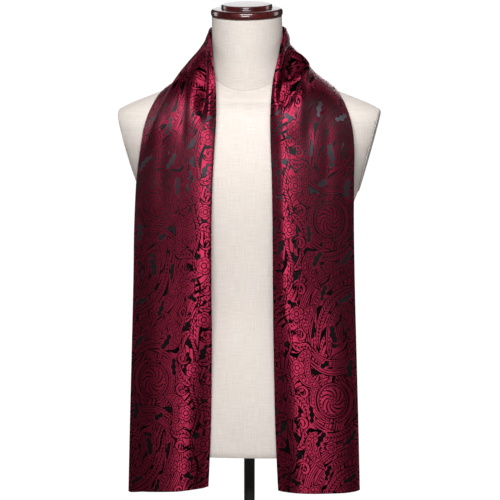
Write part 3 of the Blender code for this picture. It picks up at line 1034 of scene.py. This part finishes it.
leaf(FEATHERED, 8.0, (158, 154), (142, 178), (114, 191), (84, 194), (64, 210), (52, 240),
     (48, 270))
leaf(ROPE, 3.6, (20, -10), (33, 30), (22, 75), (35, 120), (24, 165), (36, 210), (23, 255),
     (20, 290), widest=0.5)
for p, q in ((50, 22), (8, 60), (52, 118), (8, 134), (50, 170), (8, 206), (50, 246), (8, 286)):
    curl((p, q), 13, *((180, 1) if p > 30 else (0, -1)), 3.0)
for points in (
    ((34, 34), (46, 42), (60, 40), (70, 50)), ((22, 80), (12, 86), (0, 82), (-12, 90)),
    ((34, 122), (46, 130), (56, 144), (58, 160)), ((24, 164), (12, 160), (0, 168), (-12, 164)),
    ((36, 212), (48, 206), (54, 192), (50, 178)), ((23, 254), (12, 250), (0, 258), (-12, 252)),
):
    leaf(FEATHERED, 7.2, *points)
leaf(PAISLEY, 14, (68, 46), (54, 68), (60, 94), (84, 104), widest=0.42)
leaf(PAISLEY, 12.5, (92, 246), (74, 226), (66, 202), (78, 182), widest=0.62)
leaf(PAISLEY, 10.5, (64, 320), (60, 300), (68, 282), (80, 276), widest=0.6)
leave_open(
    (5.5, 0.45, (152, 176), (140, 196), (122, 206)), (6, 0.45, (96, 182), (82, 196), (76, 214)),
    (6.5, 0.45, (150, 60), (142, 78), (148, 98)), (6, 0.45, (104, 62), (92, 72), (84, 74)),
    (7, 0.45, (120, 336), (112, 322), (112, 300)), (5.5, 0.45, (66, 172), (68, 150), (62, 132)),
    (5.5, 0.45, (152, 250), (138, 262), (120, 266)),
    (5.5, 0.45, (104, 236), (94, 252), (92, 268)),
)
print("strokes", len(STROKES))

# %% [markdown]
# Flowers and rosettes are round, so they are kept as a middle and a radius, and the shader draws
# their petals and rings from the angle and distance to that middle.

# %% Blooms
BLOOMS = (
    # p, q, radius, petals
    (*ROSETTE, 30, 14),
    (13, 22, 15, 5), (43, 76, 14, 5), (11, 110, 13, 6), (31, 148, 14, 5),
    (14, 232, 14.5, 5), (43, 286, 14, 6), (104, 208, 11, 5), (148, 214, 11, 5),
)
print("blooms", len(BLOOMS))

# %% [markdown]
# A shader can't look up dozens of strokes. The mesh can: each of its points is told, once, how wide
# the nearest stroke is there, how far along it the point lies, and how far to its side. Those
# numbers change smoothly, so a point every few millimetres is enough, and the shader draws edges
# and veins from them as sharply as they are looked at. Strokes that come close to each other go in
# different layers, so that no point has to choose between two.

# %% Layers
KEEP_CLEAR = 9.0  # strokes of one layer are at least this far apart, in millimetres
COVERS = -1.0  # a stroke that comes closer than this lies over the other
TIP_POWER = 0.62  # below 1, a stroke's tips are blunt
MANY_POINTS = 12  # a stroke with so many points is smooth already


def stroke_shape(stroke):
    """A stroke's kind, spine points, distance along it and half width at each point."""
    kind, half_width, widest, points = stroke
    spine = curve(points, 5) if len(points) < MANY_POINTS else np.array(points, float)
    along = lengths_along(spine)
    share = (along / along[-1]) ** (math.log(0.5) / math.log(widest))
    return kind, spine, along, half_width * np.sin(np.pi * share) ** TIP_POWER


def clearance(one, other):
    """The least distance between the edges of two strokes, in any image of the repeat."""
    least = np.inf
    for image in np.ndindex(3, 3):
        step = (np.array(image) - 1) * REPEAT
        apart = np.linalg.norm(one[1][:, None, :] - other[1][None, :, :] - step, axis=2)
        least = min(least, (apart - one[3][:, None] - other[3][None, :]).min())
    return least


def sort_into_layers(shapes):
    """Put each stroke in the lowest layer that is over what it covers and clear of the rest."""
    layers, level_of = [], {}
    for number, shape in enumerate(shapes):
        near = {other: clearance(shape, shapes[other]) for other in range(number)}
        level = max([0] + [level_of[other] + 1 for other in near if near[other] < COVERS])
        while level < len(layers) and any(near[other] < KEEP_CLEAR for other in layers[level]):
            level += 1
        if level == len(layers):
            layers.append([])
        layers[level].append(number)
        level_of[number] = level
    return layers


shapes = [stroke_shape(stroke) for stroke in STROKES]
layers = sort_into_layers(shapes)
print("layers", [len(layer) for layer in layers])

# %% Numbers for the mesh
GUARD, OUTSIDE = 3.5, -6.0  # in millimetres: how far out a stroke is felt, and the width beyond it


def across_spine(spots, spine, along, half):
    """For each spot, the stroke's half width there, the length along it, the way to its side."""
    nearest, share, apart, away = nearest_stretch(spots, spine)
    step = np.diff(spine, axis=0)[nearest]
    length = np.linalg.norm(step, axis=1)
    held = np.clip(share, 0, 1)
    side = (step[:, 0] * away[:, 1] - step[:, 1] * away[:, 0]) / length
    at = along[nearest] + held * length
    # past a tip, the fields go straight on, so that they stay smooth
    past = np.where((at <= 0) | (at >= along[-1]), (share - held) * length, 0.0)
    side = np.where(past == 0, np.sign(side) * apart, side)
    return np.interp(at, along, half) - np.abs(past), at + past, side


def deepest_claim(spots, nothing, claims):
    """At each spot, the numbers of the claim that it lies deepest in, or else nothing's."""
    deepest = np.full(len(spots), -GUARD)
    field = np.tile(np.array(nothing, float), (len(spots), 1))
    for near, depth, numbers in claims:
        better = depth > deepest[near]
        deepest[near[better]] = depth[better]
        field[near[better]] = numbers[better]
    return field


def stroke_claims(spots, members):
    """For each stroke of a layer, its half width, the length along, the way aside, its kind."""
    for number in members:
        kind, spine, along, half = shapes[number]
        low, high = spine.min(0) - half.max() - GUARD, spine.max(0) + half.max() + GUARD
        folded = spots - REPEAT * np.floor((spots - low) / REPEAT)
        for step in np.ndindex(*np.ceil((high - low) / REPEAT).astype(int)):
            local = folded + REPEAT * step
            near = np.flatnonzero((local < high).all(1))
            if len(near):
                wide, at, aside = across_spine(local[near], spine, along, half)
                kinds = np.full(len(near), kind)
                yield near, wide - np.abs(aside), np.column_stack([wide, at, aside, kinds])


def bloom_claims(spots):
    """For each flower, the offsets from its middle, its radius and its petals."""
    every = np.arange(len(spots))
    for p, q, radius, petals in BLOOMS:
        apart = (spots - (p, q) + REPEAT / 2) % REPEAT - REPEAT / 2
        numbers = np.tile([0.0, 0.0, radius, petals], (len(spots), 1))
        numbers[:, :2] = apart
        yield every, radius - np.linalg.norm(apart, axis=1), numbers


cloth_spots = np.column_stack([cloth_p.ravel(), cloth_q.ravel()])
print("spots", len(cloth_spots))

# %% [markdown]
# The mesh itself is the grid, closed round its loop and along its hems. It carries the cloth's own
# lengths as a UV map, in metres, and one pair of attributes for each layer of strokes.


# %% Scarf piece
ROWS, ROUND = scarf_points.shape[:2]


def close_hem(row):
    """Faces across the thin end of the band, from its upper face to its under one."""
    faces = []
    for column in range(UPPER - 1):
        corners = (column, column + 1, ROUND - column - 1, (ROUND - column) % ROUND)
        face = tuple(dict.fromkeys(row * ROUND + corner for corner in corners))
        if len(face) > 2:
            faces.append(face)
    return faces


far_hem = [face[::-1] for face in close_hem(ROWS - 1)]  # it faces the other way
scarf_faces = grid_faces(ROWS, ROUND) + close_hem(0) + far_hem
silk, start = new_finish("paisley_silk")
scarf = add_piece(
    "long_scarf", scarf_points.reshape(-1, 3) * MM + FORM_FLOOR, scarf_faces, silk,
    ("scarf_nape", "scarf_end_right", "scarf_end_left"),
)
print("scarf triangles", sum(len(face.vertices) - 2 for face in scarf.data.polygons))

# %% [markdown]
# A face that closes the loop runs from the end of the cloth's width back to its start, so its
# corners at the start are told that they lie one full width further on.

# %% Cloth lengths and layers
corner_cloth = cloth_spots[read_all(scarf.data.loops, "vertex_index")]
face_start = read_all(scarf.data.polygons, "loop_start")
face_size = np.diff(np.append(face_start, len(corner_cloth)))
furthest = np.repeat(np.maximum.reduceat(corner_cloth[:, 0], face_start), face_size)
at_start = (corner_cloth[:, 0] < 1) & (furthest > PANEL * 1.5)
corner_cloth[:, 0] += np.where(at_start, 2 * PANEL, 0)
lay_cloth(scarf.data, corner_cloth)

for number, members in enumerate(layers):
    claims = stroke_claims(cloth_spots, members)
    field = deepest_claim(cloth_spots, (OUTSIDE, 0, 0, 0), claims)
    keep(scarf.data, "layer_%d" % number, "FLOAT_VECTOR", field[:, :3])
    keep(scarf.data, "kind_%d" % number, "FLOAT", field[:, 3])
field = deepest_claim(cloth_spots, (0, 0, OUTSIDE, 5), bloom_claims(cloth_spots))
keep(scarf.data, "bloom", "FLOAT_VECTOR", field[:, :3])
keep(scarf.data, "petals", "FLOAT", field[:, 3])
print("attributes", len(scarf.data.attributes))

# %% [markdown]
# ## The silk
#
# In the shader, the layers are stacked from the lowest up, and the last one that covers a place
# wins. What is left is one set of numbers, from which each kind of stroke draws its own lines:
# contours that follow its edge, rows of beads, slanted veins, or the twist of a rope.


# %% Figure and ground
def about(value, middle, reach):
    """1 where the value is within reach of the middle."""
    return value.math("COMPARE", middle, reach)


def any_of(first, *others):
    for other in others:
        first = first.math("MAXIMUM", other)
    return first


EDGE, OVERLAP = 0.75, 0.7  # a stroke's black outline, inside and outside its edge
cloth = start.node("UVMap", {"uv_map": "cloth"})
nearest, kind = None, None
for number in range(len(layers)):
    layer, its_kind = start.attribute("layer_%d" % number, 1), start.attribute("kind_%d" % number)
    wide, along, aside = layer.parts()
    ground_round_it = (its_kind > OPEN - 1) * ((along * 0.25).math("SINE") * 0.8 + 0.3) + OVERLAP
    covers = (wide - abs(aside) + ground_round_it) > 0
    nearest = covers.blend(nearest or [OUTSIDE, 0, 0], layer, "VECTOR")
    kind = covers.blend(kind or -1.0, its_kind)
wide, along, aside = nearest.parts()
kind = kind - (kind > OPEN - 1) * OPEN
side = abs(aside)
depth = wide - side
print("nodes so far", len(silk.node_tree.nodes))

# %% Lines inside the strokes
lines = {
    PLAIN: about(depth, 3.3, 0.6) * (wide > 5),
    LINED: any_of(about(depth, 3.5, 0.7), (side < 0.7) * (wide > 6.4)),
    BEADED: any_of(about(depth, 3.2, 0.65), about(depth, 6.1, 1.1) * (along.cycle(6.2) < 0.45),
                   about(depth, 9.0, 0.7)),
    FEATHERED: any_of((depth > 2.2) * ((along - side * 1.1).cycle(6.2) < 0.32), side < 0.7),
    ROPE: (along + aside).cycle(5.6) < 0.32,
    PAISLEY: any_of(about(depth, 3.2, 0.65), about(depth, 6.1, 1.1) * (along.cycle(6.0) < 0.45),
                    about(depth, 9.0, 0.65), about(depth, 12.2, 0.8)),
    GAP_SHAPE: depth > (along * 0.6).math("SINE") * 1.2 + 1.2,
}
dark = any_of((depth < EDGE) * (kind < GAP_SHAPE - 0.5),
              *(about(kind, number, 0.5) * drawn for number, drawn in lines.items()))
stroke_figure = 1 - dark
print("nodes so far", len(silk.node_tree.nodes))

# %% [markdown]
# Where no stroke lies, fine lines flow between the motifs, every second one beaded. They come from
# one smooth wave that repeats with the cloth.

# %% Flowing lines
p, q, _ = cloth.parts()
turn_p, turn_q = p * (math.tau / (PANEL * MM)), q * (math.tau / (REPEAT[1] * MM))
flow = (
    turn_p * (14 / math.tau) + turn_q * (12 / math.tau)
    + (turn_p + turn_q * 2).math("SINE") * 0.8 + (turn_p * 2 - turn_q + 1).math("SINE")
)
stripe = flow.cycle(1.0)
bead = (turn_p * (28 / math.tau) - turn_q * (36 / math.tau)).cycle(1.0) < 0.42
beads = (flow.cycle(2.0) > 0.5) * about(stripe, 0.62, 0.15) * bead
swell = (turn_p * 3 - turn_q * 4 + flow * 0.7).math("SINE") * 0.5 + 0.5
flowing = (stripe > swell * swell * 0.30 + 0.18) * (1 - beads)
figure = (kind > -0.5).blend(flowing, stroke_figure)
print("nodes so far", len(silk.node_tree.nodes))

# %% [markdown]
# A flower's rim swings in and out with the sine of the angle, once for each petal. A rosette is
# drawn by its distance from the rim: a ring, a row of teeth, a whirl, and a small flower for a
# heart.

# %% Flowers and rosettes
petals = start.attribute("petals")
bloom_p, bloom_q, radius = start.attribute("bloom", 1).parts()
reach = (bloom_p * bloom_p + bloom_q * bloom_q).math("SQRT")
angle = bloom_q.math("ARCTAN2", bloom_p)
petal_wave = abs((angle * petals * 0.5).math("SINE"))
rim = radius * (petal_wave.math("POWER", 0.6) * 0.24 + 0.76) - reach
flower_dark = any_of(
    about(rim, 0.0, 0.75), about(rim, 4.4, 0.6) * (petal_wave > 0.3),
    (petal_wave < 0.16) * (reach > radius * 0.34), about(reach, radius * 0.3, 0.75),
)
from_rim = radius - reach
turns = angle / math.tau
teeth = abs((turns * 24).cycle(1.0) - 0.5) * 6.0 + 5.2
swirl = (turns * 9 + reach / 9).cycle(1.0)
ring_dark = any_of(about(from_rim, 0.0, 0.95), about(from_rim, 3.8, 0.85),
                   (from_rim > 5.4) * (from_rim < teeth), (from_rim > 8.8) * (swirl < 0.34))
heart_wave = abs((angle * 2.5).math("SINE"))
heart_rim = heart_wave.math("POWER", 0.6) * 2.3 + 5.3 - reach
heart_dark = any_of(about(heart_rim, 0.0, 0.7), about(reach, 2.4, 0.6),
                    (heart_wave < 0.16) * (reach > 2.6) * (heart_rim > 0))
rosette_dark = (reach < 8.0).blend(ring_dark, heart_dark)
is_rosette = radius > 20
bloom_covers = is_rosette.blend(rim + 1.0, from_rim + 1.1) > 0
bloom_figure = 1 - is_rosette.blend(flower_dark, rosette_dark)
in_bloom = bloom_covers * (radius > 0)
figure = in_bloom.blend(figure, bloom_figure)
open_ground = about(kind, GAP_SHAPE, 0.5) * (1 - in_bloom)
print("nodes so far", len(silk.node_tree.nodes))

# %% [markdown]
# Figure and ground are two satins of the same cloth. The crimson threads run across the band and
# the black ones along it, so each blurs its reflection the other way: the figure lights up in a
# streak down the cloth, the ground in a grey bloom across the chest. That is what the two shaders'
# anisotropy does, turned by a quarter between them. The grey shows on open ground, where the black
# threads float free. They are bound down in the narrow lines, so there the black is made metallic,
# which leaves it nearly dark. Above a line round the neck it is made metallic too, as painted
# shade:
# that takes the grey sheen off the cloth there and leaves it nearly dark.

# %% Satins
SILK_PITCH = 0.0009
NECK_FOOT, NECK_SLOPE = 0.785, 0.6  # the ground is darkened as painted shade above a line that rises outwards
NECK_BLEND, BOUND_DOWN = 0.05, 0.6
uneven = cloth.noise(60.0, "2D")
relief = figure * 0.8 + weave(cloth, SILK_PITCH) * 0.25 + uneven * 0.2
relief = relief.bump(0.00018, 0.35)
figure_satin = start.node("BsdfPrincipled", None, {
    "Base Color": uneven.colour((0.325, 0.0165, 0.052), (0.465, 0.0280, 0.084)),
    "Roughness": 0.53, "Metallic": 0.88, "Anisotropic": 0.88, "Anisotropic Rotation": 0.25,
    "Specular IOR Level": 0.3, "Normal": relief,
})
sideways, _, height = place_of(start).parts()
# painted shade: above a line round the neck the ground's grey sheen is taken away
neck_painted_shade = (height - abs(sideways) * NECK_SLOPE).fade(NECK_FOOT, NECK_FOOT + NECK_BLEND)
ground_satin = start.node("BsdfPrincipled", None, {
    "Base Color": uneven.colour((0.0024, 0.0008, 0.0010), (0.0046, 0.0016, 0.0020)),
    "Metallic": (neck_painted_shade + (1 - open_ground) * BOUND_DOWN).math("MINIMUM", 0.95),
    "Roughness": 0.52, "Anisotropic": 0.84, "Specular IOR Level": 0.80,
    "Specular Tint": [0.83, 0.86, 1.0, 1], "Normal": relief,
})
woven = figure.node("MixShader", None, {0: figure, 1: ground_satin, 2: figure_satin})
start.node("OutputMaterial", None, {0: woven})
print("silk nodes", len(silk.node_tree.nodes))

# %% [markdown]
# ## Stage
#
# The floor is a plain pale disc whose outer part glows as painted light, so that it brightens
# outwards into the white round it. That white is a ball round the whole scene, which only the
# camera sees: it casts no light. Neither is part of the object.

# %% Floor and backdrop
FLOOR_RADIUS, GLOWS_FROM, BACKDROP_RADIUS = 1.0, 0.35, 12.0


def stage_piece(name, form, finish):
    """Turn a bmesh into a piece of the stage."""
    mesh = bpy.data.meshes.new(name)
    form.to_mesh(mesh)
    form.free()
    mesh.materials.append(finish)
    mesh.shade_smooth()
    piece = put(name, mesh)
    return piece


pale, start = new_finish("pale_floor")
spot = place_of(start)
from_middle = spot.node("VectorMath", {"operation": "LENGTH"}, {0: spot}, 1)
dress(start, {
    "Base Color": spot.noise(6.0).colour((0.74, 0.74, 0.74), (0.78, 0.78, 0.78)),
    # painted light: the floor glows white, more strongly towards its edge
    "Emission Color": from_middle.fade(GLOWS_FROM, FLOOR_RADIUS).colour((0, 0, 0), (1, 1, 1)),
    "Roughness": 0.8, "Emission Strength": 1.0,
})
disc = bmesh.new()
bmesh.ops.create_circle(disc, cap_ends=True, segments=96, radius=FLOOR_RADIUS)
stage_piece("floor", disc, pale).visible_glossy = False

white, start = new_finish("white_backdrop")
start.node("OutputMaterial", None, {0: start.node("Emission", None, {"Strength": 1.05})})
ball = bmesh.new()
bmesh.ops.create_icosphere(ball, subdivisions=4, radius=BACKDROP_RADIUS)
backdrop = stage_piece("backdrop", ball, white)
for ray in ("diffuse", "glossy", "transmission", "volume_scatter", "shadow"):
    setattr(backdrop, "visible_" + ray, False)
print("stage laid")

# %% [markdown]
# A studio keeps a lamp off what it would spoil with a black flag. Blender's way is light linking:
# a lamp lights only the pieces in one collection. The box behind the neck is there for the gloss
# on the cap, one high box brightens the linen alone, and the back box leaves the floor in shade.


# %% Flags
def flag(lamp, *pieces):
    """Keep a lamp's light to these pieces."""
    lit = bpy.data.collections.new("lit_by_" + lamp.name)
    for piece in pieces:
        lit.objects.link(piece)
    lamp.light_linking.receiver_collection = lit
    print(lamp.name, "lights", len(pieces), "pieces")


flag(cap_box, cap)
flag(form_box, torso, *boards)
flag(back_box, torso, scarf, *boards)
